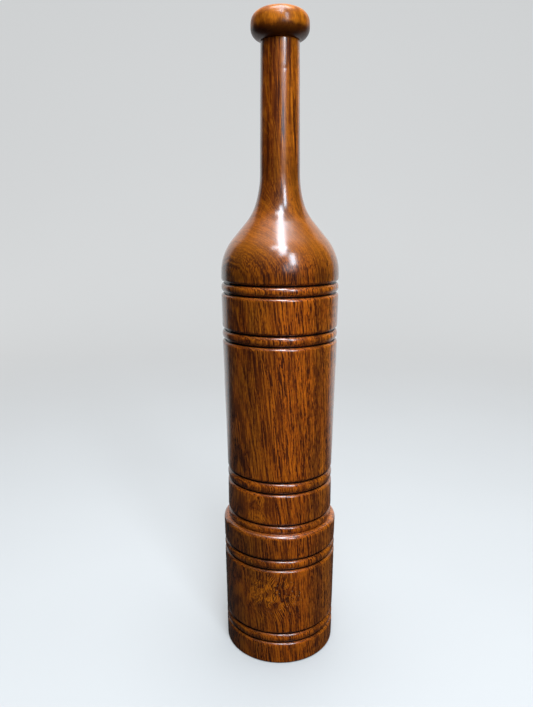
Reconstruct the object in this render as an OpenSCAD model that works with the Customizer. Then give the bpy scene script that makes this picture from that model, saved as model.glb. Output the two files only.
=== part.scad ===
// Turned wooden exercise club: a round drum base, a gently tapered barrel, a bell
// shaped shoulder that runs up into the grip, and a flattened ball knob.
// Origin at the centre of the flat foot, +Z up along the turning axis. Millimetres.

/* [Base drum] */
// Height of the drum, from the foot to the face that the barrel stands on
base_h = 148.5; // [130:0.5:178]
// Radius at the foot
base_foot_r = 59.3; // [54:0.1:71]
// How far the drum reaches out past the foot of the barrel
ledge_w = 4.9; // [3:0.1:8]
// Rounding of the arris at the foot
foot_round = 2; // [1:0.1:4]
// Rounding of the top shoulder
shoulder_round = 4.2; // [3:0.1:5]
// Height of the middle of the lower bead
base_bead_low = 29.9; // [25:0.1:36]
// Height of the lower bead, groove to groove
base_bead_low_h = 9; // [7:0.1:12]
// Distance of the middle of the upper bead below the top face
base_bead_high = 32.9; // [27:0.1:40]
// Height of the upper bead, groove to groove
base_bead_high_h = 9.4; // [7:0.1:12]
// Mouth radius of the lathe centre mark under the foot
centre_mark_r = 2.5; // [1:0.1:4]
// Depth of the lathe centre mark
centre_mark_depth = 3; // [1:0.1:5]

/* [Barrel] */
// Height of the barrel, from the drum to the seam under the bell
barrel_h = 254.6; // [245:0.1:306]
// Radius of the straight lower part
barrel_low_r = 56.1; // [48:0.1:57]
// Radius at the top of the taper
barrel_top_r = 60; // [57:0.1:72]
// Height above the drum at which the taper starts
taper_start = 50; // [30:1:60]
// Distance below the bell at which the taper ends
taper_end = 28.6; // [20:0.1:36]
// Height above the drum of the middle of the lower bead
barrel_bead_low = 49.8; // [40:0.1:58]
// Height of the lower bead, groove to groove
barrel_bead_low_h = 10.5; // [8:0.1:13]
// Distance of the middle of the upper bead below the bell
barrel_bead_high = 52.9; // [44:0.1:64]
// Height of the upper bead, groove to groove
barrel_bead_high_h = 9.2; // [7:0.1:12]
// Height of the bead at the top, under the bell
top_bead_h = 8.8; // [7:0.1:12]
// Height of the bead that the barrel stands on
seat_bead_h = 8.1; // [6:0.1:10]

/* [Bell and grip] */
// Radius of the sphere-like shoulder of the bell
bell_round = 54.6; // [45:0.1:56]
// Height of the straight skirt under the rounded shoulder
bell_skirt = 8; // [5:0.1:12]
// Angle at which the rounded shoulder meets the straight flank
flank_angle = 39.6; // [34:0.1:46]
// Radius of the tighter lower sweep of the neck
neck_low_round = 51.6; // [40:0.1:62]
// Radius of the slow upper sweep of the neck
neck_high_round = 103.6; // [84:0.1:124]
// Angle at which one sweep of the neck hands over to the other
neck_hand_over = 16.6; // [12:0.1:20]
// Grip radius where the neck runs into it
grip_low_r = 19.8; // [17:0.1:23]
// Grip radius under the knob
grip_top_r = 18.8; // [16:0.1:22]
// Length of the grip, from the end of the neck to the knob
grip_len = 119.6; // [98:0.1:144]

/* [Knob] */
// Largest radius of the knob
knob_r = 28.1; // [26:0.1:34]
// Height of the crown above the widest place
knob_crown = 16.6; // [14:0.1:20]
// Depth that the underside would reach if it ran on to a point
knob_under = 14.8; // [12:0.1:18]
// How far the flat on the underside reaches out past the grip
knob_seat_lip = 0.6; // [0.2:0.1:1.5]
// Squareness of the outline, where 2 is an ellipse
knob_square = 2.7; // [2:0.05:3]

/* [Beads and grooves] */
// Squareness of a bead's cross-section, where 2 is half an ellipse
bead_square = 2.1; // [2:0.05:3]
// Depth of a groove below the surface beside it
groove_depth = 3; // [1.4:0.1:3.4]
// Width of the flat at the bottom of a groove
groove_floor = 1.5; // [0.8:0.1:1.8]
// Height of the rounded top edge of the section below a groove
top_edge_round = 3.2; // [2:0.1:4]
// Height of the rounded bottom edge of the section above a groove
bottom_edge_round = 3; // [1.5:0.1:4]

/* [Glued joints] */
// Radius of the tenon between the drum and the barrel
base_tenon_r = 24; // [20:0.5:29]
// Length of the tenon between the drum and the barrel
base_tenon_len = 58; // [46:1:70]
// Radius of the tenon between the barrel and the bell
bell_tenon_r = 22; // [18:0.5:27]
// Length of the tenon between the barrel and the bell
bell_tenon_len = 72; // [58:1:86]
// Radius of the spigot that holds the knob
spigot_r = 10; // [8:0.5:12]
// Length of the spigot that holds the knob
spigot_len = 20; // [16:0.5:24]
// Radial room for glue round each tenon
glue_gap = 0.1; // [0.05:0.01:0.2]
// Room for glue past the end of each tenon
end_gap = 2; // [1:0.1:3]
// Chamfer on the end of each tenon
tenon_chamfer = 2; // [1:0.1:3]

/* [Hidden] */
$fn = 96;

bead_steps = 10;     // straight pieces that make up one bead
edge_steps = 5;      // straight pieces that make up one rounded edge
foot_steps = 6;
shoulder_steps = 8;
bell_steps = 22;
neck_steps = 12;
knob_steps = 18;
glue_rings = 3;      // rings that hold glue on a tenon, with their width and depth
glue_ring_w = 1.6;
glue_ring_d = 0.5;

dark_wood = [0.36, 0.17, 0.06];
amber_wood = [0.50, 0.26, 0.09];

base_top_r = barrel_low_r + ledge_w;
knob_seat_r = grip_top_r + knob_seat_lip;
base_bead_high_z = base_h - base_bead_high;

barrel_z = base_h;              // where each piece starts
handle_z = barrel_z + barrel_h;
barrel_bead_low_z = barrel_z + barrel_bead_low;
barrel_bead_high_z = handle_z - barrel_bead_high;
taper_low_z = barrel_z + taper_start;
taper_high_z = handle_z - taper_end;

// The bell, worked out upwards from the seam: rounded shoulder, straight flank, then
// the two sweeps of the neck, which end upright on the grip.
bell_r = barrel_top_r;
flank_r = bell_r - bell_round * (1 - cos(flank_angle));
flank_z = handle_z + bell_skirt + bell_round * sin(flank_angle);
neck_mid_r = grip_low_r + neck_high_round * (1 - cos(neck_hand_over));
neck_r = neck_mid_r + neck_low_round * (cos(neck_hand_over) - cos(flank_angle));
neck_z = flank_z + (flank_r - neck_r) / tan(flank_angle);
neck_mid_z = neck_z + neck_low_round * (sin(flank_angle) - sin(neck_hand_over));
grip_z = neck_mid_z + neck_high_round * sin(neck_hand_over);
knob_z = grip_z + grip_len;
knob_mid_z = knob_z
    + knob_under * pow(1 - pow(knob_seat_r / knob_r, knob_square), 1 / knob_square);

// Points on an ellipse arc about c, with half axes a (radial) and b (along the axis).
function arc_pts(c, a, b, from, to, n) =
    [for (i = [0:n]) let (t = from + (to - from) * i / n)
        [c[0] + a * cos(t), c[1] + b * sin(t)]];

// The half of a groove that leads from the full radius r at height z down into it.
function edge_down(r, z) =
    arc_pts([r - groove_depth, z], groove_depth, top_edge_round, 0, 90, edge_steps);

// The half of a groove that leads from its floor back out to the full radius r at z.
function edge_up(r, z) =
    arc_pts([r - groove_depth, z], groove_depth, bottom_edge_round, -90, 0, edge_steps);

// Points on a superellipse about c, like arc_pts but with squareness n.
function square_pts(c, a, b, from, to, n, steps) =
    [for (i = [0:steps]) let (t = from + (to - from) * i / steps)
        [c[0] + a * pow(abs(cos(t)), 2 / n),
         c[1] + sign(sin(t)) * b * pow(abs(sin(t)), 2 / n)]];

// A bead of height h with its middle at z and its crest at radius r.
function bead(r, z, h) =
    square_pts([r - groove_depth, z], groove_depth, h / 2, -90, 90, bead_square, bead_steps);

// Distance from the middle of a bead of height h to where the section below or above it
// reaches its full radius.
function reach_down(h) = h / 2 + groove_floor + top_edge_round;
function reach_up(h) = h / 2 + groove_floor + bottom_edge_round;

// A bead of height h between two grooves, cut into a surface of radius r at height z.
function bead_pair(r, z, h) = concat(
    edge_down(r, z - reach_down(h)), bead(r, z, h), edge_up(r, z + reach_up(h)));

// Radius of the drum at height z above the foot.
function base_r(z) = base_foot_r + (base_top_r - base_foot_r) * z / base_h;

// Radius of the barrel at height z.
function barrel_r(z) = barrel_low_r + (barrel_top_r - barrel_low_r)
    * min(1, max(0, (z - taper_low_z) / (taper_high_z - taper_low_z)));

// A round tenon that starts at height z and reaches len up (dir = 1) or down (dir = -1).
module tenon(r, len, z, dir = 1) {
    rings = [for (i = [1:glue_rings]) i * len / (glue_rings + 1)];
    translate([0, 0, z]) mirror([0, 0, dir < 0 ? 1 : 0]) difference() {
        union() {
            cylinder(r = r, h = len - tenon_chamfer);
            translate([0, 0, len - tenon_chamfer])
                cylinder(r1 = r, r2 = r - tenon_chamfer, h = tenon_chamfer);
        }
        for (ring_z = rings) translate([0, 0, ring_z - glue_ring_w / 2])
            rotate_extrude()
                translate([r - glue_ring_d, 0])
                    square([2 * glue_ring_d, glue_ring_w]);
    }
}

// The bored seat for such a tenon, with room for glue.
module socket(r, len, z, dir = 1) {
    depth = len + end_gap;
    translate([0, 0, dir > 0 ? z : z - depth])
        cylinder(r = r + glue_gap, h = depth);
}

module base() {
    outline = concat(
        [[0, 0]],
        arc_pts([base_r(0) - foot_round, foot_round], foot_round, foot_round, -90, 0,
            foot_steps),
        bead_pair(base_r(base_bead_low), base_bead_low, base_bead_low_h),
        bead_pair(base_r(base_bead_high_z), base_bead_high_z, base_bead_high_h),
        arc_pts([base_r(base_h) - shoulder_round, base_h - shoulder_round],
            shoulder_round, shoulder_round, 0, 90, shoulder_steps),
        [[0, base_h]]);
    color(dark_wood) difference() {
        rotate_extrude() polygon(outline);
        socket(base_tenon_r, base_tenon_len, base_h, -1);
        cylinder(r1 = centre_mark_r, r2 = 0, h = centre_mark_depth);
    }
}

module barrel() {
    seat_mid = barrel_z + seat_bead_h / 2;
    band_z = seat_mid + reach_up(seat_bead_h);
    top_bead = handle_z - groove_floor / 2 - top_bead_h / 2;
    outline = concat(
        [[0, barrel_z]],
        bead(barrel_low_r, seat_mid, seat_bead_h),
        edge_up(barrel_low_r, band_z),
        bead_pair(barrel_r(barrel_bead_low_z), barrel_bead_low_z, barrel_bead_low_h),
        bead_pair(barrel_r(barrel_bead_high_z), barrel_bead_high_z, barrel_bead_high_h),
        edge_down(barrel_top_r, top_bead - reach_down(top_bead_h)),
        bead(barrel_top_r, top_bead, top_bead_h),
        [[barrel_top_r - groove_depth, handle_z], [0, handle_z]]);
    color(dark_wood) union() {
        difference() {
            rotate_extrude() polygon(outline);
            socket(bell_tenon_r, bell_tenon_len, handle_z, -1);
        }
        tenon(base_tenon_r, base_tenon_len, barrel_z, -1);
    }
}

module handle() {
    seam_r = bell_r - groove_depth;
    shoulder_z = handle_z + bell_skirt;
    low_c = neck_mid_r + neck_low_round * cos(neck_hand_over);
    low_z = neck_z + neck_low_round * sin(flank_angle);
    high_c = grip_low_r + neck_high_round;
    outline = concat(
        [[0, handle_z], [seam_r, handle_z]],
        edge_up(bell_r, handle_z + groove_floor / 2 + bottom_edge_round),
        arc_pts([bell_r - bell_round, shoulder_z],
            bell_round, bell_round, 0, flank_angle, bell_steps),
        [for (i = [0:neck_steps])
            let (t = flank_angle + (neck_hand_over - flank_angle) * i / neck_steps)
            [low_c - neck_low_round * cos(t), low_z - neck_low_round * sin(t)]],
        [for (i = [1:neck_steps]) let (t = neck_hand_over * (1 - i / neck_steps))
            [high_c - neck_high_round * cos(t), grip_z - neck_high_round * sin(t)]],
        [[grip_top_r, knob_z], [0, knob_z]]);
    color(amber_wood) union() {
        rotate_extrude() polygon(outline);
        tenon(bell_tenon_r, bell_tenon_len, handle_z, -1);
        tenon(spigot_r, spigot_len, knob_z);
    }
}

module knob() {
    middle = [0, knob_mid_z];
    seat_angle = acos(pow(knob_seat_r / knob_r, knob_square / 2));
    crown_pts = square_pts(middle, knob_r, knob_crown, 0, 90, knob_square, knob_steps);
    outline = concat(
        [[0, knob_z]],
        square_pts(middle, knob_r, knob_under, -seat_angle, 0, knob_square, knob_steps),
        [for (i = [1:knob_steps]) crown_pts[i]]);
    color(amber_wood) difference() {
        rotate_extrude() polygon(outline);
        socket(spigot_r, spigot_len, knob_z);
    }
}

base();
barrel();
handle();
knob();
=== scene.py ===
"""Turned wooden exercise club: base, barrel, handle and knob, each a closed turning
with its tenon or its socket, cut from one streaked hardwood under clear gloss lacquer."""
import math

import bpy
import numpy as np
from mathutils import Matrix, Vector


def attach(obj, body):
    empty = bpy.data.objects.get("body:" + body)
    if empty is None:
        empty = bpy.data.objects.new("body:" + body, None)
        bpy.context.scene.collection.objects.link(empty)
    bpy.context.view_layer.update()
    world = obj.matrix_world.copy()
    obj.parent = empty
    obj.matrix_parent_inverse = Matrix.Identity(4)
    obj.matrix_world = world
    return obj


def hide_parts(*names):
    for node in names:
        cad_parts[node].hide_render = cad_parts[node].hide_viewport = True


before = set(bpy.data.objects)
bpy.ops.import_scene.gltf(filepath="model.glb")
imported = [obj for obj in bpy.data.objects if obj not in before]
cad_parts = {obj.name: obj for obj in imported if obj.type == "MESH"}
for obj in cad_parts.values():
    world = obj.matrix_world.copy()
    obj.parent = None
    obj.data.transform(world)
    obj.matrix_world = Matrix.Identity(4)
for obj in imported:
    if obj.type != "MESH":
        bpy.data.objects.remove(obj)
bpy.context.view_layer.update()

MM = 0.001
ROUND = 224              # facets round each turning
STEP = 1.1               # longest facet along an outline where it shows, millimetres
HIDDEN_STEP = 4.0        # and where it runs inside a joint

# ---------------------------------------------------------------- sizes, millimetres
BASE_H = 148.5
BASE_FOOT_R = 59.3
BASE_TOP_R = 61.0
FOOT_ROUND = 2.0
SHOULDER_ROUND = 4.2
BASE_BEAD_LOW = (29.9, 9.0)          # height of its middle above the foot, and its own height
BASE_BEAD_HIGH = (BASE_H - 32.9, 9.4)
CENTRE_MARK = (2.5, 3.0)             # mouth radius and depth of the lathe centre mark
LEDGE_LINES_R = 55.6                 # fine turned lines on the ledge, one of them here
LEDGE_LINES_PITCH = 1.15
LEDGE_LINES_DEPTH = 0.16
BARREL_H = 254.6
BARREL_LOW_R = 56.1
BARREL_TOP_R = 60.0
SEAM_Z = BASE_H + BARREL_H           # seam between the barrel and the bell
TAPER = (BASE_H + 50.0, SEAM_Z - 28.6)      # heights where the barrel's taper starts and ends
SEAT_BEAD_H = 8.1
BARREL_BEAD_LOW = (BASE_H + 49.8, 10.5)
BARREL_BEAD_HIGH = (SEAM_Z - 52.9, 9.2)
TOP_BEAD_H = 8.8
GROOVE_DEPTH = 3.0
GROOVE_LIMIT = 3.6                   # anything deeper is inside a joint, not in a groove
GROOVE_FLOOR = 1.5
TOP_EDGE = 3.2                       # rolled top edge of the section below a groove
BOTTOM_EDGE = 3.0                    # rolled bottom edge of the section above a groove
BEAD_SQUARE = 2.1
BELL_ROUND = 54.6
BELL_SKIRT = 8.0
FLANK = math.radians(39.6)
NECK_LOW = 51.6
NECK_HIGH = 103.6
HAND_OVER = math.radians(16.6)
GRIP_LOW_R = 19.8
GRIP_TOP_R = 18.8
GRIP_LEN = 119.6
KNOB_R = 28.1
KNOB_CROWN = 16.6
KNOB_UNDER = 14.8
KNOB_SQUARE = 2.7
KNOB_SEAT_R = 19.4
BASE_TENON = (24.0, 58.0)            # radius and length of each glued joint
BELL_TENON = (22.0, 72.0)
SPIGOT = (10.0, 20.0)
GLUE_GAP = 0.1
END_GAP = 2.0
CHAMFER = 2.0
JOINT_R = 30.0                       # every joint lies inside this radius
OUT_OF_ROUND = 0.05
CHISEL_RIPPLE = 0.004
CRISP_EDGE = 48                      # degrees, past which an edge is drawn sharp


# ---------------------------------------------------------------- outlines
def curve(c, a, b, start, end, n=2.0, steps=24):
    """Superellipse arc about c = (r, z): r = a |cos t|^(2/n), z = b |sin t|^(2/n),
    with the signs of cos t and sin t, for t from start to end in degrees."""
    t = np.radians(np.linspace(start, end, steps + 1))
    co, si = np.cos(t), np.sin(t)
    return np.stack([c[0] + a * np.sign(co) * np.abs(co) ** (2 / n),
                     c[1] + b * np.sign(si) * np.abs(si) ** (2 / n)], 1)


def points(*pairs):
    """Corner points of an outline, as an array of (r, z)."""
    return np.array(pairs, float)


def edge_into(r, z):
    """Quarter ellipse that rolls from the full radius r at height z down into a groove."""
    return curve((r - GROOVE_DEPTH, z), GROOVE_DEPTH, TOP_EDGE, 0, 90, steps=9)


def edge_out(r, z):
    """Quarter ellipse that rolls out of a groove to the full radius r at height z."""
    return curve((r - GROOVE_DEPTH, z), GROOVE_DEPTH, BOTTOM_EDGE, -90, 0, steps=9)


def bead(r, z, h):
    """Half a superellipse, h tall with its crest at radius r."""
    return curve((r - GROOVE_DEPTH, z), GROOVE_DEPTH, h / 2, -90, 90, BEAD_SQUARE, 24)


def ringed_bead(r, z, h):
    """A bead between two grooves in a surface of radius r, with both lips rolled."""
    reach = h / 2 + GROOVE_FLOOR
    return np.vstack([edge_into(r, z - reach - TOP_EDGE), bead(r, z, h),
                      edge_out(r, z + reach + BOTTOM_EDGE)])


def drum_radius(z):
    """Straight taper from the foot to the top of the drum."""
    return BASE_FOOT_R + (BASE_TOP_R - BASE_FOOT_R) * z / BASE_H


def barrel_radius(z):
    """Straight below, straight above, and one straight taper between them."""
    share = np.clip((z - TAPER[0]) / (TAPER[1] - TAPER[0]), 0, 1)
    return BARREL_LOW_R + (BARREL_TOP_R - BARREL_LOW_R) * share


def envelope(z):
    """Radius of the surface that the grooves are cut into, at each height: the drum's, the
    barrel's, then the bell's for its first 6 mm, and 0 above that, where no groove is."""
    z = np.asarray(z, float)
    bell = np.where(z < SEAM_Z + 6, BARREL_TOP_R, 0)
    above = np.where(z < SEAM_Z - 0.01, barrel_radius(z), bell)
    return np.where(z < BASE_H - 0.01, drum_radius(z), above)


def tenon(r, length, z, way):
    """Section of a round tenon from its chamfered end to its shoulder, way = -1 below z
    and +1 above it, listed upwards."""
    end = z + way * length
    pts = points((0, end), (r - CHAMFER, end), (r, end - way * CHAMFER), (r, z))
    return pts if way < 0 else pts[::-1]


def socket(r, length, z, way):
    """Section of a bored socket that opens at z, way = -1 for one bored downwards."""
    end = z + way * (length + END_GAP)
    pts = points((r + GLUE_GAP, z), (r + GLUE_GAP, end), (0, end))
    return pts if way < 0 else pts[::-1]


def base_outline():
    """Drum: foot with its centre mark, two ringed beads, rolled shoulder, ledge with a
    few fine turned lines, and the socket."""
    shoulder_r = BASE_TOP_R - SHOULDER_ROUND
    shoulder_z = BASE_H - SHOULDER_ROUND
    ledge = np.linspace(shoulder_r, BARREL_LOW_R - 2, 28)
    wave = np.cos((ledge - LEDGE_LINES_R) * 2 * math.pi / LEDGE_LINES_PITCH)
    lines = LEDGE_LINES_DEPTH * np.maximum(0, wave) ** 3 * (ledge < LEDGE_LINES_R + 2)
    return np.vstack([
        points((0, CENTRE_MARK[1]), (CENTRE_MARK[0], 0)),
        curve((BASE_FOOT_R - FOOT_ROUND, FOOT_ROUND), FOOT_ROUND, FOOT_ROUND, -90, 0, steps=8),
        ringed_bead(drum_radius(BASE_BEAD_LOW[0]), *BASE_BEAD_LOW),
        ringed_bead(drum_radius(BASE_BEAD_HIGH[0]), *BASE_BEAD_HIGH),
        curve((shoulder_r, shoulder_z), SHOULDER_ROUND, SHOULDER_ROUND, 0, 90, steps=14)[:-1],
        np.stack([ledge, BASE_H - lines], 1),
        socket(*BASE_TENON, BASE_H, -1)])


def barrel_outline():
    """Barrel: tenon below, seat bead, two ringed beads, the top bead, and the socket."""
    top_bead_z = SEAM_Z - GROOVE_FLOOR / 2 - TOP_BEAD_H / 2
    return np.vstack([
        tenon(*BASE_TENON, BASE_H, -1),
        bead(BARREL_LOW_R, BASE_H + SEAT_BEAD_H / 2, SEAT_BEAD_H),
        edge_out(BARREL_LOW_R, BASE_H + SEAT_BEAD_H + GROOVE_FLOOR + BOTTOM_EDGE),
        ringed_bead(barrel_radius(BARREL_BEAD_LOW[0]), *BARREL_BEAD_LOW),
        ringed_bead(barrel_radius(BARREL_BEAD_HIGH[0]), *BARREL_BEAD_HIGH),
        edge_into(BARREL_TOP_R, top_bead_z - TOP_BEAD_H / 2 - GROOVE_FLOOR - TOP_EDGE),
        bead(BARREL_TOP_R, top_bead_z, TOP_BEAD_H),
        points((BARREL_TOP_R - GROOVE_DEPTH, SEAM_Z)),
        socket(*BELL_TENON, SEAM_Z, -1)])


def handle_outline():
    """Bell, neck and grip: a circular shoulder, a straight flank, two hollow sweeps and
    the slow taper of the grip. Returns the outline and the height of the knob's seat."""
    flank_r = BARREL_TOP_R - BELL_ROUND * (1 - math.cos(FLANK))
    flank_z = SEAM_Z + BELL_SKIRT + BELL_ROUND * math.sin(FLANK)
    mid_r = GRIP_LOW_R + NECK_HIGH * (1 - math.cos(HAND_OVER))
    neck_r = mid_r + NECK_LOW * (math.cos(HAND_OVER) - math.cos(FLANK))
    neck_z = flank_z + (flank_r - neck_r) / math.tan(FLANK)
    mid_z = neck_z + NECK_LOW * (math.sin(FLANK) - math.sin(HAND_OVER))
    grip_z = mid_z + NECK_HIGH * math.sin(HAND_OVER)
    seat_z = grip_z + GRIP_LEN
    low = np.linspace(FLANK, HAND_OVER, 30)
    high = np.linspace(HAND_OVER, 0, 30)[1:]
    return np.vstack([
        tenon(*BELL_TENON, SEAM_Z, -1),
        points((BARREL_TOP_R - GROOVE_DEPTH, SEAM_Z)),
        edge_out(BARREL_TOP_R, SEAM_Z + GROOVE_FLOOR / 2 + BOTTOM_EDGE),
        curve((BARREL_TOP_R - BELL_ROUND, SEAM_Z + BELL_SKIRT), BELL_ROUND, BELL_ROUND,
              0, math.degrees(FLANK), steps=40),
        np.stack([mid_r + NECK_LOW * (math.cos(HAND_OVER) - np.cos(low)),
                  neck_z + NECK_LOW * (math.sin(FLANK) - np.sin(low))], 1),
        np.stack([GRIP_LOW_R + NECK_HIGH * (1 - np.cos(high)),
                  grip_z - NECK_HIGH * np.sin(high)], 1),
        points((GRIP_TOP_R, seat_z - 0.5), (GRIP_TOP_R - 0.5, seat_z)),
        tenon(*SPIGOT, seat_z, 1)]), seat_z


def knob_outline(seat_z):
    """Flattened ball: two superellipse quarters on one widest circle, flat underneath."""
    share = (1 - (KNOB_SEAT_R / KNOB_R) ** KNOB_SQUARE) ** (1 / KNOB_SQUARE)
    mid = seat_z + KNOB_UNDER * share
    seat_angle = math.degrees(math.acos((KNOB_SEAT_R / KNOB_R) ** (KNOB_SQUARE / 2)))
    return np.vstack([
        socket(*SPIGOT, seat_z, 1),
        curve((0, mid), KNOB_R, KNOB_UNDER, -seat_angle, 0, KNOB_SQUARE, 40),
        curve((0, mid), KNOB_R, KNOB_CROWN, 0, 90, KNOB_SQUARE, 50)[1:]])


# ---------------------------------------------------------------- turnings
def even_steps(outline):
    """The outline with extra points, evenly spaced between two of its own, so that none are
    further apart than STEP, or HIDDEN_STEP inside a joint. Doubled points are dropped."""
    keep = np.r_[True, np.hypot(*np.diff(outline, axis=0).T) > 1e-6]
    outline = outline[keep]
    span = np.hypot(*np.diff(outline, axis=0).T)
    parts = []
    for start, end, length in zip(outline[:-1], outline[1:], span):
        inside = max(start[0], end[0]) < JOINT_R and envelope((start[1] + end[1]) / 2) > JOINT_R
        count = int(np.ceil(length / (HIDDEN_STEP if inside else STEP)))
        parts.append(start + (end - start) * np.linspace(0, 1, count + 1)[:-1, None])
    return np.vstack(parts + [outline[-1:]])


def waves(theta, z, seed, count=9, reach=(25.0, 110.0)):
    """A soft random field on a turning: a sum of cosines, each of a whole number of turns
    round it plus z over a random wavelength in reach, over the root of their count."""
    rng = np.random.default_rng(seed)
    field = np.zeros(np.broadcast(theta, z).shape)
    for _ in range(count):
        turns = rng.integers(0, 4)
        climb = 2 * math.pi * z / rng.uniform(*reach)
        field += np.cos(turns * theta + climb + rng.uniform(0, 2 * math.pi))
    return field / math.sqrt(count)


def turned(name, outline, node, wood, dents=()):
    """Carry the outline round the Z axis: x = r cos t, y = r sin t, with r and z from the
    outline and t in even steps. Where the surface shows, r gets a slight out-of-round, the
    chisel's faint ripple and the dents, each (degrees round, height, width, depth) and
    bell-shaped: depth times e to the minus square of the distance over the width."""
    pts = even_steps(outline)
    r, z = pts[1:-1, 0], pts[1:-1, 1]
    theta = np.linspace(0, 2 * math.pi, ROUND, endpoint=False)
    zz, tt = np.meshgrid(z, theta, indexing="ij")
    rr = np.repeat(r[:, None], ROUND, 1)
    shown = np.clip((r - 12.5) / 4, 0, 1)[:, None] * (rr > envelope(z)[:, None] - GROOVE_LIMIT)
    rr = rr + shown * (OUT_OF_ROUND * waves(tt, zz, 3) + CHISEL_RIPPLE * waves(tt, zz, 5, 12, (3.0, 6.0)))
    for angle, height, wide, deep in dents:
        round_it = np.angle(np.exp(1j * (tt - math.radians(angle)))) * rr
        away = np.hypot(round_it, zz - height) / wide
        rr = rr - shown * deep * np.exp(-away ** 2)
    grid = np.stack([rr * np.cos(tt), rr * np.sin(tt), zz], -1).reshape(-1, 3)
    verts = np.vstack([[0, 0, pts[0, 1]], grid, [0, 0, pts[-1, 1]]]) * MM
    mesh = closed_mesh(name, verts, len(r))
    groove = np.concatenate([[0], np.repeat(groove_depth(r, z), ROUND), [0]])
    mesh.attributes.new("groove", "FLOAT", "POINT").data.foreach_set("value", groove.astype(np.float32))
    piece = bpy.data.objects.new(name, mesh)
    bpy.context.scene.collection.objects.link(piece)
    piece.data.materials.append(wood)
    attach(piece, "root")
    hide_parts(node)


def groove_depth(r, z):
    """How deep each point lies below the surface beside it, as a share of a groove's full
    depth. The drum's rolled shoulder and what lies inside a joint count as 0."""
    below = envelope(z) - r
    shoulder = np.abs(z - BASE_H + 3) <= 3.2
    return np.clip(below / GROOVE_DEPTH, 0, 1) * (below < GROOVE_LIMIT) * ~shoulder


def closed_mesh(name, verts, rows):
    """A closed mesh from a bottom point, rows rings of ROUND points each and a top point:
    a fan of triangles at either end, and four-sided faces between each ring and the next."""
    ring, j = np.meshgrid(np.arange(rows - 1), np.arange(ROUND), indexing="ij")
    k = (j + 1) % ROUND
    here, above = 1 + ring * ROUND, 1 + (ring + 1) * ROUND
    quads = np.stack([here + j, here + k, above + k, above + j], -1).reshape(-1, 4)
    j = np.arange(ROUND)
    k = (j + 1) % ROUND
    last = 1 + (rows - 1) * ROUND
    foot = np.stack([np.zeros_like(j), 1 + k, 1 + j], 1)
    crown = np.stack([last + j, last + k, np.full_like(j, len(verts) - 1)], 1)
    loops = np.concatenate([foot.ravel(), quads.ravel(), crown.ravel()])
    sizes = np.concatenate([np.full(len(foot), 3), np.full(len(quads), 4), np.full(len(crown), 3)])
    starts = np.concatenate([[0], np.cumsum(sizes)[:-1]])
    mesh = bpy.data.meshes.new(name)
    mesh.vertices.add(len(verts))
    mesh.vertices.foreach_set("co", verts.astype(np.float32).ravel())
    mesh.loops.add(len(loops))
    mesh.loops.foreach_set("vertex_index", loops.astype(np.int32))
    mesh.polygons.add(len(sizes))
    mesh.polygons.foreach_set("loop_start", starts.astype(np.int32))
    mesh.polygons.foreach_set("use_smooth", np.ones(len(sizes), bool))
    mesh.update(calc_edges=True)
    mesh.validate()
    mesh.set_sharp_from_angle(angle=math.radians(CRISP_EDGE))
    return mesh


# ---------------------------------------------------------------- shader graph
class Number:
    """A number that varies over the surface. The operators add Math nodes."""

    def __init__(self, graph, socket):
        self.graph = graph
        self.socket = socket

    def _with(self, operation, a, b=0.0, clamp=False):
        settings = {"operation": operation, "use_clamp": clamp}
        node = self.graph.add("ShaderNodeMath", settings, {0: a, 1: b})
        return Number(self.graph, node.outputs[0])

    def __add__(self, other):
        return self._with("ADD", self, other)

    def __radd__(self, other):
        return self._with("ADD", other, self)

    def __sub__(self, other):
        return self._with("SUBTRACT", self, other)

    def __rsub__(self, other):
        return self._with("SUBTRACT", other, self)

    def __mul__(self, other):
        return self._with("MULTIPLY", self, other)

    def __rmul__(self, other):
        return self._with("MULTIPLY", other, self)

    def __truediv__(self, other):
        return self._with("DIVIDE", self, other)

    def clamp(self):
        """The number held between 0 and 1."""
        return self._with("ADD", self, 0.0, clamp=True)

    def root(self):
        """The square root."""
        return self._with("SQRT", self)

    def smooth(self, low, high):
        """0 at low, 1 at high, and an even S between them. It falls where low > high."""
        node = self.graph.add("ShaderNodeMapRange", {"interpolation_type": "SMOOTHSTEP"},
                              {"Value": self, "From Min": low, "From Max": high})
        return Number(self.graph, node.outputs[0])


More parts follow.
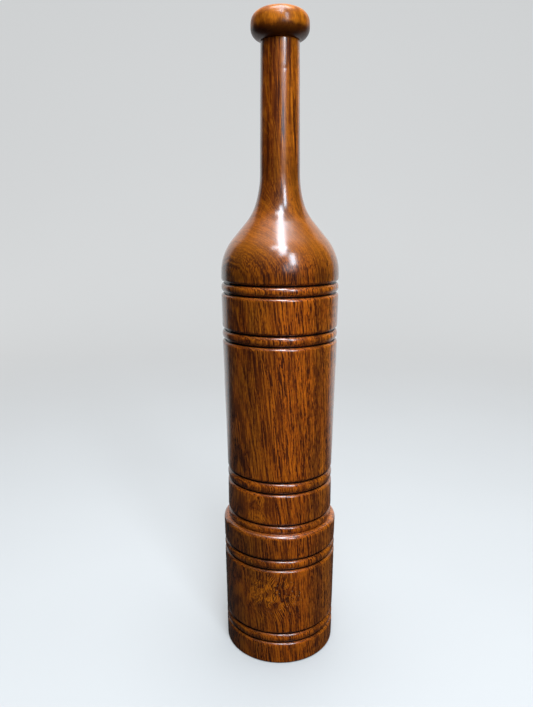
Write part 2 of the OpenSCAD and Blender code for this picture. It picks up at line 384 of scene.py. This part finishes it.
class Graph:
    """The node tree of a material or of the world."""

    def __init__(self, owner):
        self.owner = owner
        owner.use_nodes = True
        self.tree = owner.node_tree
        self.tree.nodes.clear()

    def add(self, kind, settings=None, inputs=None):
        """A node of this kind, with its settings made first and then its sockets, each
        given a plain value, a Number or another node's socket."""
        node = self.tree.nodes.new(kind)
        for key, value in (settings or {}).items():
            if key == "stops":
                while len(node.color_ramp.elements) < len(value):
                    node.color_ramp.elements.new(0.5)
                for element, (place, colour) in zip(node.color_ramp.elements, value):
                    element.position = place
                    element.color = colour
            else:
                setattr(node, key, value)
        for key, value in (inputs or {}).items():
            socket = node.inputs[key]
            if isinstance(value, Number):
                value = value.socket
            if isinstance(value, bpy.types.NodeSocket):
                self.tree.links.new(value, socket)
            else:
                socket.default_value = value
        return node

    def number(self, socket):
        """A node's output, ready for arithmetic."""
        return Number(self, socket)

    def noise(self, x, y, z, detail=2.0, rough=0.5, warp=0.0):
        """Noise at a point built from three numbers, one cell to a unit."""
        at = self.add("ShaderNodeCombineXYZ", {}, {0: x, 1: y, 2: z}).outputs[0]
        node = self.add("ShaderNodeTexNoise", {}, {"Vector": at, "Scale": 1.0, "Detail": detail,
                                                   "Roughness": rough, "Distortion": warp})
        return Number(self, node.outputs[0])

    def blend(self, share, a, b):
        """Colour a where share is 0 and colour b where it is 1."""
        node = self.add("ShaderNodeMix", {"data_type": "RGBA"}, {0: share, 6: a, 7: b})
        return node.outputs[2]

    def shade(self, colour, factor):
        """The colour times a number."""
        node = self.add("ShaderNodeVectorMath", {"operation": "SCALE"}, {0: colour, "Scale": factor})
        return node.outputs[0]


def rgb(red, green, blue):
    """An opaque colour, in linear light."""
    return (red, green, blue, 1.0)


AMBER = rgb(0.86, 0.215, 0.006)
HONEY = rgb(0.66, 0.190, 0.007)
RUSSET = rgb(0.66, 0.128, 0.004)
UMBER = rgb(0.17, 0.025, 0.001)
DARK = rgb(0.042, 0.0055, 0.0006)
# near black, for the grooves: partly a stain, partly painted shade in the recess
SOOT_AND_SHADE = rgb(0.005, 0.003, 0.002)
CHIP = rgb(0.70, 0.50, 0.28)
PITH = (72, 60)                      # where the tree's heart ran, beside the club
ZONES = [                            # the wood's colour outwards from 60 to 160 mm off it; the last two, darkest stops fall on the club's left front and are partly the wood's outer zone, partly painted shade on that side
    (0.00, AMBER),
    (0.38, AMBER),
    (0.45, rgb(0.46, 0.100, 0.006)),
    (0.49, rgb(0.22, 0.048, 0.004)),
    (0.53, rgb(0.44, 0.100, 0.006)),
    (0.62, RUSSET),
    (0.76, RUSSET),
    (0.90, rgb(0.24, 0.062, 0.004)),
    (1.00, rgb(0.12, 0.033, 0.002))]


def lacquered_wood():
    """Streaked amber and dark brown hardwood. The growth rings are shells about a pith line that runs
    beside the club, bent by slow noise; the dark lines follow them, broken along the fibres, with
    open pores and a wild patch on the drum. The grooves are darkened, partly by a stain and partly
    with painted shade, and painted shade also darkens the lower drum, the bell, neck and grip, the
    knob's top and underside, and in part the club's left front. All places are in millimetres."""
    g = Graph(bpy.data.materials.new("lacquered_wood"))
    place = g.add("ShaderNodeTexCoord").outputs["Object"]
    mm = g.add("ShaderNodeVectorMath", {"operation": "SCALE"}, {0: place, "Scale": 1000.0}).outputs[0]
    parts = g.add("ShaderNodeSeparateXYZ", {}, {0: mm})
    x, y, z = (g.number(parts.outputs[i]) for i in range(3))

    def near(cx, cy, cz, reach):
        """1 at a place in the wood, falling to 0 at reach from it."""
        gap = g.add("ShaderNodeVectorMath", {"operation": "DISTANCE"}, {0: mm, 1: (cx, cy, cz)})
        return 1 - g.number(gap.outputs["Value"]).smooth(reach * 0.15, reach)

    # how far up the club a place is: over the seam, on the bell, past the bell, on the grip
    # and on the knob
    upper = z.smooth(412, 442)
    bell = z.smooth(405, 450)
    high = z.smooth(440, 520)
    grip = z.smooth(505, 545)
    knob = z.smooth(627, 631)
    stem = high * (1 - knob)

    # how the trunk grew: long bends, short ripples, and a wild patch with a swirl in it
    slow = g.noise(x / 62, y / 62, z / 420, 1.0)
    bend = g.noise(x / 24 + 7, y / 24, z / 110, 2.0)
    ripple = g.noise(x / 9, y / 9 + 5, z / 22, 1.5)
    wild = near(-9, -58, 82, 36) + 0.5 * near(-24, -50, 172, 24)
    swirl = g.noise(x / 14, y / 14 + 3, z / 14, 1.5, 0.5)
    px = x - PITH[0]
    py = y - PITH[1]
    pith = (px * px + py * py).root()
    ring = (pith - 0.07 * z + 9 * slow + 1.3 * bend + (1.0 + 1.6 * bell) * ripple
            + 30 * wild * (swirl - 0.5))
    along = 0.64 * x - 0.77 * y
    lean = x + 0.08 * z + 5 * bend + 14 * wild * swirl

    # the grain: growth lines, vessels and the dashes that break them up
    line = g.noise(ring / 0.74, along / 40, z / 50, 1.0)
    vessel = g.noise(lean / 0.66, y / 0.66, z / 34, 0.8)
    dash = g.noise(lean / 0.8 + 60, y / 0.8, z / 3.4, 1.0)
    cluster = g.noise(ring / 2.6, along / 50, z / 70 + 5, 1.5).smooth(0.38, 0.56)
    grain = (0.32 + 0.18 * bell) * line + (0.48 - 0.18 * bell) * vessel + 0.20 * dash
    dark_line = grain.smooth(0.47, 0.53) * (0.68 + 0.32 * cluster) * (1 - 0.60 * upper) * (1 - 0.7 * knob)
    pale_line = grain.smooth(0.47, 0.41) * (1 - knob)
    fine_line = g.noise(lean / 0.55 + 20, y / 0.55, z / 8 + 9, 1.0).smooth(0.48, 0.58)
    dark_band = g.noise(ring / 5.0, along / 140, z / 190 + 11, 1.5).smooth(0.48, 0.62)

    # small things: hairs, chisel marks, pores, and pale chips in the wild patch
    hair = g.noise(x / 0.6, y / 0.6, z / 5, 2.0, 0.6)
    mark = g.noise(x / 40, y / 40, z / 0.9, 1.0)
    pore = g.noise(x / 0.5 + 50, y / 0.5, z / 5, 1.0)
    speck = g.noise(x / 1.3, y / 1.3 + 8, z / 1.1, 0.0).smooth(0.76, 0.80) * near(4, -58, 80, 34)

    # stains: clouds, blotches and long streaks up the stem; and painted shade under the knob, with a ragged
    # edge
    cloud = g.noise(x / 22, y / 22, z / 60 + 4, 2.5)
    blotch = g.noise(x / 8 + 3, y / 8, z / 11, 2.0)
    streak = g.noise(x / 3.4 + 31, y / 3.4, z / 75, 2.0)
    # painted shade: the knob darkened below its widest circle, where it faces down
    knob_underside_shade = (z + 11 * (blotch - 0.5) + 7 * (streak - 0.5)).smooth(644, 637)
    dark_side = (pith + 6 * (streak - 0.5)).smooth(109.4, 111.6)

    # partly painted shade: the pith's place puts the darkest zones on the club's left front, and on the
    # stem the zones are drawn closer, darker on its left front and lighter on its right
    zone_at = pith + 2.2 * high * (pith - 109) + 6 * (slow - 0.5) + 5 * (cloud - 0.5)
    base = g.add("ShaderNodeValToRGB", {"stops": ZONES}, {"Fac": (zone_at - 60) / 100}).outputs["Color"]
    for share, colour in [
            (0.50 * cloud.smooth(0.40, 0.66), RUSSET),
            (0.75 * knob, HONEY),
            (0.45 * dark_band, UMBER),
            (0.45 * bell * blotch.smooth(0.50, 0.62), UMBER),
            (0.72 * stem * streak.smooth(0.49, 0.58), UMBER),
            (0.50 * upper * (1 - high), HONEY),
            (0.75 * stem * streak.smooth(0.53, 0.61), DARK),
            (0.40 * stem * streak.smooth(0.47, 0.38), HONEY),
            (0.40 * stem * dark_side, UMBER),
            (0.40 * pale_line, HONEY),
            (0.35 * fine_line, UMBER),
            (0.85 * wild.clamp() * swirl.smooth(0.48, 0.56), AMBER),
            (0.85 * wild.clamp() * swirl.smooth(0.46, 0.38), UMBER),
            (0.95 * dark_line, DARK),
            # painted shade under the knob
            (0.85 * knob * knob_underside_shade, DARK),
            (0.35 * pore.smooth(0.60, 0.70), DARK),
            (0.60 * speck, CHIP)]:
        base = g.blend(share, base, colour)

    # painted shade: darker towards the foot of the drum, where less of the light from above reaches; darker
    # on the bell, neck and grip, offsetting the strong light from above, but much less so on the grip's
    # right side, which is painted as the lit side; and darker on top of the knob, for the same strong light
    # from above
    figure = 0.64 + 0.52 * hair + 0.2 * mark
    drum_foot_shade = 1 - 0.14 * z.smooth(225, 140)
    painted_shade_share = 1 - 0.8 * x.smooth(2, 12) * grip
    bell_and_grip_shade = 1 - (0.42 - 0.19 * grip) * z.smooth(398, 412) * (1 - knob) * painted_shade_share
    knob_top_shade = 1 - 0.30 * z.smooth(636, 650)
    base = g.shade(base, figure * drum_foot_shade * bell_and_grip_shade * knob_top_shade)
    groove = g.number(g.add("ShaderNodeAttribute", {"attribute_name": "groove"}).outputs["Fac"])
    # the groove floors go near black: partly a stain, partly painted shade where the recess lies in shadow
    groove_stain_and_shade = groove.smooth(0.60, 0.94)
    base = g.blend(0.95 * groove_stain_and_shade, base, SOOT_AND_SHADE)

    height = 0.5 * hair - 0.6 * dark_line - 0.7 * pore.smooth(0.6, 0.7)
    bump = g.add("ShaderNodeBump", {}, {"Strength": 0.16, "Distance": 0.0002, "Height": height})
    shader = g.add("ShaderNodeBsdfPrincipled", {}, {
        "Base Color": base,
        "Roughness": 0.45 + 0.16 * dark_line + 0.3 * groove_stain_and_shade,
        "Specular IOR Level": 0.08,
        "Coat Weight": (1 - 0.4 * groove_stain_and_shade) * (1 - 0.72 * knob),
        "Coat Roughness": 0.19,
        "Coat IOR": 1.58,
        "Normal": bump.outputs[0]})
    g.add("ShaderNodeOutputMaterial", {}, {"Surface": shader.outputs[0]})
    return g.owner


# ---------------------------------------------------------------- the four pieces
DRUM_DENTS = [(-97, 66, 1.3, 0.15), (-73, 95, 1.3, 0.15), (-89, 86, 1.0, 0.12)]
GRIP_NICK = [(angle, 602, 1.2, 0.09) for angle in range(-102, -62, 4)]

wood = lacquered_wood()
handle_line, seat_z = handle_outline()
turned("base_turning", base_outline(), "base", wood, DRUM_DENTS)
turned("barrel_turning", barrel_outline(), "barrel", wood)
turned("handle_turning", handle_line, "handle", wood, GRIP_NICK)
turned("knob_turning", knob_outline(seat_z), "knob", wood)


# ---------------------------------------------------------------- stage
def pale_floor():
    """Matt pale floor that turns up into a lit backdrop. Everything but the eye sees the
    level part darker than it looks, as if black cloth lay round the plinth, so that it
    doesn't wash out the gloss. Only the reflections see the bright patch behind the club,
    which edges its right side with light. Further off, the floor glows a little to the
    eye, so that it meets the pale backdrop."""
    g = Graph(bpy.data.materials.new("pale_floor"))
    place = g.add("ShaderNodeTexCoord").outputs["Object"]
    parts = g.add("ShaderNodeSeparateXYZ", {}, {0: place})
    x, y = (g.number(parts.outputs[i]) for i in range(2))
    soft = g.number(g.add("ShaderNodeTexNoise", {}, {"Vector": place, "Scale": 3.0}).outputs[0])
    seen = g.number(g.add("ShaderNodeLightPath").outputs["Is Camera Ray"])
    far = (x * x + y * y).root().smooth(0.2, 2.6)
    from_left = (x + 1.4 * y).smooth(-0.1, 0.25)
    to_right = 1 - (x - 1.3 * y).smooth(-0.1, 0.4)
    patch = y.smooth(0.25, 0.7) * from_left * to_right
    matt = (0.97 + 0.06 * soft) * (0.03 + (0.66 - 0.42 * far) * seen)
    glow = 0.01 + 0.85 * patch * (1 - seen) + (0.14 + 0.44 * far) * seen
    shader = g.add("ShaderNodeBsdfPrincipled", {}, {
        "Base Color": g.shade((0.60, 0.57, 0.54), matt),
        "Roughness": 1.0,
        "Specular IOR Level": 0.0,
        "Emission Color": g.shade((0.97, 0.99, 1.0), glow),
        "Emission Strength": 1.0})
    g.add("ShaderNodeOutputMaterial", {}, {"Surface": shader.outputs[0]})
    return g.owner


def studio_world():
    """A soft ceiling over near darkness; pale to the eye."""
    g = Graph(bpy.data.worlds.new("studio"))
    way = g.add("ShaderNodeSeparateXYZ", {}, {0: g.add("ShaderNodeTexCoord").outputs["Generated"]})
    ceiling = 0.015 + 0.9 * g.number(way.outputs[2]).smooth(0.74, 0.96)
    seen = g.number(g.add("ShaderNodeLightPath").outputs["Is Camera Ray"])
    dim = g.add("ShaderNodeBackground", {}, {"Color": g.shade((1.0, 0.97, 0.95), ceiling), "Strength": 1.0})
    pale = g.add("ShaderNodeBackground", {}, {"Color": (0.82, 0.83, 0.83, 1), "Strength": 0.84})
    both = g.add("ShaderNodeMixShader", {}, {0: seen, 1: dim.outputs[0], 2: pale.outputs[0]})
    g.add("ShaderNodeOutputWorld", {}, {"Surface": both.outputs[0]})
    bpy.context.scene.world = g.owner


def sweep(width=9.0, front=-4.0, turn=1.5, radius=1.2, top=4.0):
    """Floor that runs level from y = front to y = turn, then rises in a quarter circle,
    y = turn + radius sin t and z = radius (1 - cos t), into a wall as high as top."""
    t = np.linspace(0, math.pi / 2, 24)
    line = np.vstack([[(front, 0.0), (turn, 0.0)],
                      np.stack([turn + radius * np.sin(t), radius * (1 - np.cos(t))], 1)[1:],
                      [(turn + radius, top)]])
    n = len(line)
    verts = np.vstack([np.column_stack([np.full(n, side * width / 2), line]) for side in (-1, 1)])
    i = np.arange(n - 1)
    faces = np.stack([i, i + n, i + n + 1, i + 1], 1)
    mesh = bpy.data.meshes.new("floor")
    mesh.from_pydata(verts.tolist(), [], faces.tolist())
    mesh.polygons.foreach_set("use_smooth", np.ones(len(faces), bool))
    floor = bpy.data.objects.new("floor", mesh)
    bpy.context.scene.collection.objects.link(floor)
    floor.data.materials.append(pale_floor())


def panel(name, place, aim, size, power):
    """Soft rectangular light at place, facing the club's axis at the height aim."""
    data = bpy.data.lights.new(name, "AREA")
    data.shape = "RECTANGLE"
    data.size, data.size_y = size
    data.energy = power
    data.color = DAYLIGHT
    light = bpy.data.objects.new(name, data)
    light.location = place
    light.rotation_euler = (Vector((0, 0, aim)) - Vector(place)).to_track_quat("-Z", "Y").to_euler()
    bpy.context.scene.collection.objects.link(light)


DAYLIGHT = (0.74, 0.87, 1.0)
sweep()
studio_world()
panel("top_panel", (0.10, -0.80, 1.75), 0.45, (0.33, 0.95), 21)
panel("cross_panel", (-0.04, -0.93, 1.90), 0.45, (0.74, 0.18), 8)
panel("low_panel", (0.58, -1.62, 0.93), 0.57, (0.70, 0.45), 3)
panel("over_panel", (0.06, 0.05, 1.90), 0.45, (0.80, 0.80), 32)
panel("strip_panel", (0.66, -1.30, 1.32), 0.45, (0.26, 0.62), 13)

# ---------------------------------------------------------------- camera
EYE = (0, -0.640, 0.4674)            # metres
TURN_LEFT = 1.247                    # degrees
LOOK_DOWN = 12.38
ROLL = -0.20

lens = bpy.data.cameras.new("camera")
lens.lens = 31.726
lens.sensor_width = 36
lens.clip_start = 0.01
camera = bpy.data.objects.new("camera", lens)
camera.matrix_world = (Matrix.Translation(EYE)
                       @ Matrix.Rotation(math.radians(TURN_LEFT), 4, "Z")
                       @ Matrix.Rotation(math.radians(90 - LOOK_DOWN), 4, "X")
                       @ Matrix.Rotation(math.radians(ROLL), 4, "Z"))
bpy.context.scene.collection.objects.link(camera)
bpy.context.scene.camera = camera
bpy.context.scene.view_settings.view_transform = "Standard"
